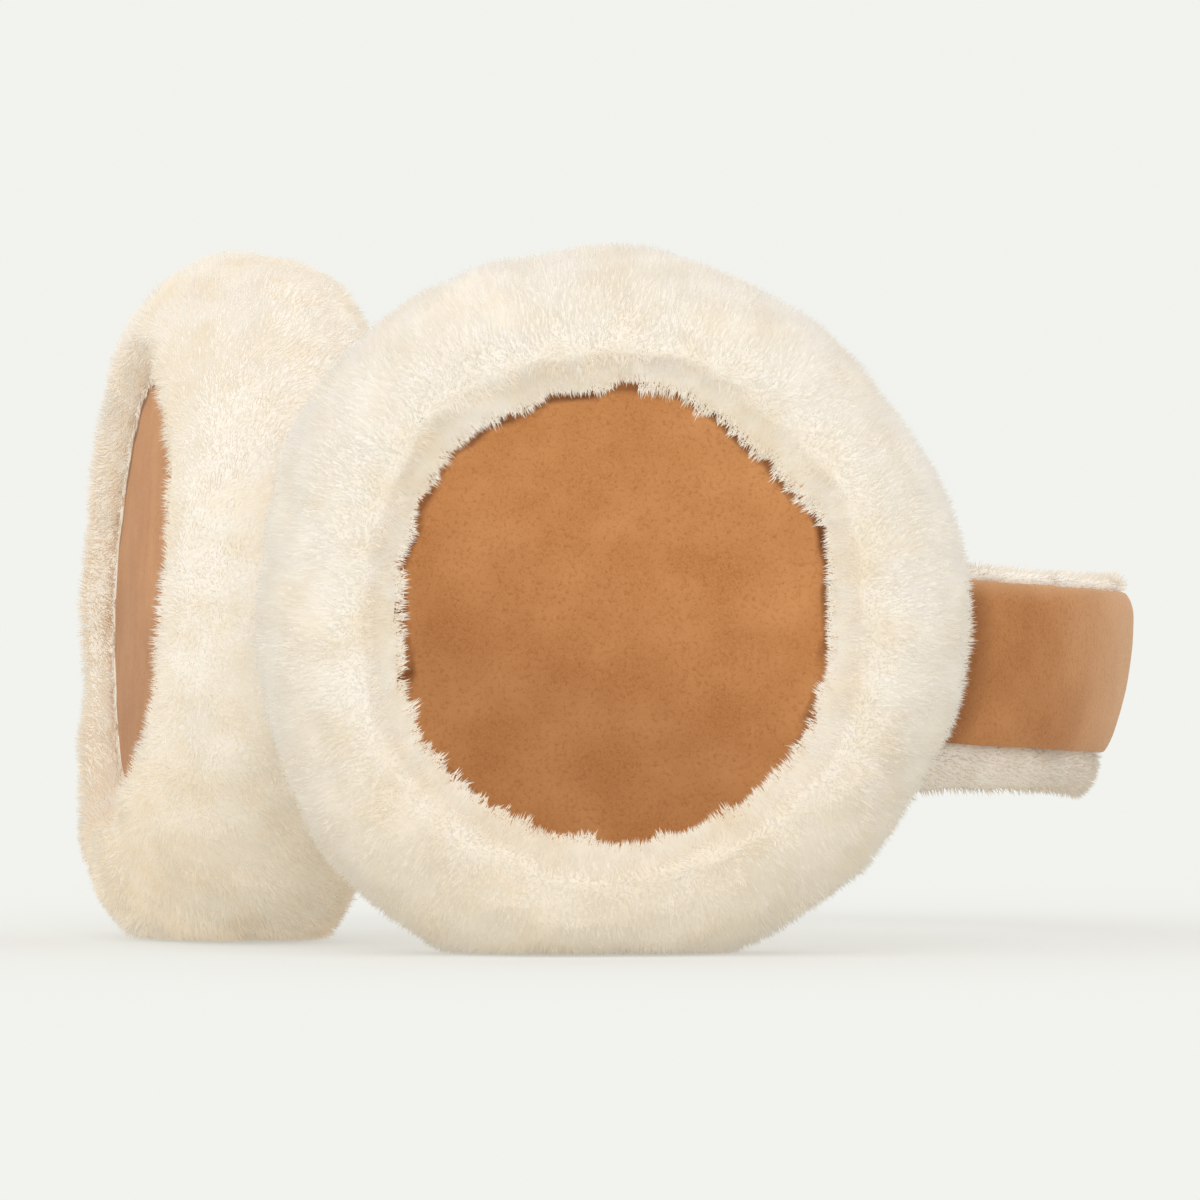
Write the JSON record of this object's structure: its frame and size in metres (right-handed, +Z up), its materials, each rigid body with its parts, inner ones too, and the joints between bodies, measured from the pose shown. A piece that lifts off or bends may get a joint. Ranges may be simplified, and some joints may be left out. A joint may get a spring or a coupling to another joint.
{
  "type": "fur earmuffs",
  "caption": "Shearling earmuffs with round suede-faced fur cups on a sprung suede headband, lying on their cup rims as if set down on a table.",
  "frame": {"origin": "centre of the bounding box, on the surface the cups stand on", "axes": "+Z up; -Y is the outward side of the near cup, which faces the viewer in the picture; +X is where the headband leaves the near cup"},
  "size_m": [0.1664, 0.1666, 0.1078],
  "materials": {
    "shearling": "deep cream sheepskin pile, matte",
    "suede": "tan suede with a fine nap, matte"
  },
  "bodies": {
    "root": {"near_cup_fur": "shearling", "near_cup_disc": "suede", "far_cup_fur": "shearling", "far_cup_disc": "suede", "headband_suede": "suede", "headband_lining": "shearling"}
  },
  "joints": []
}
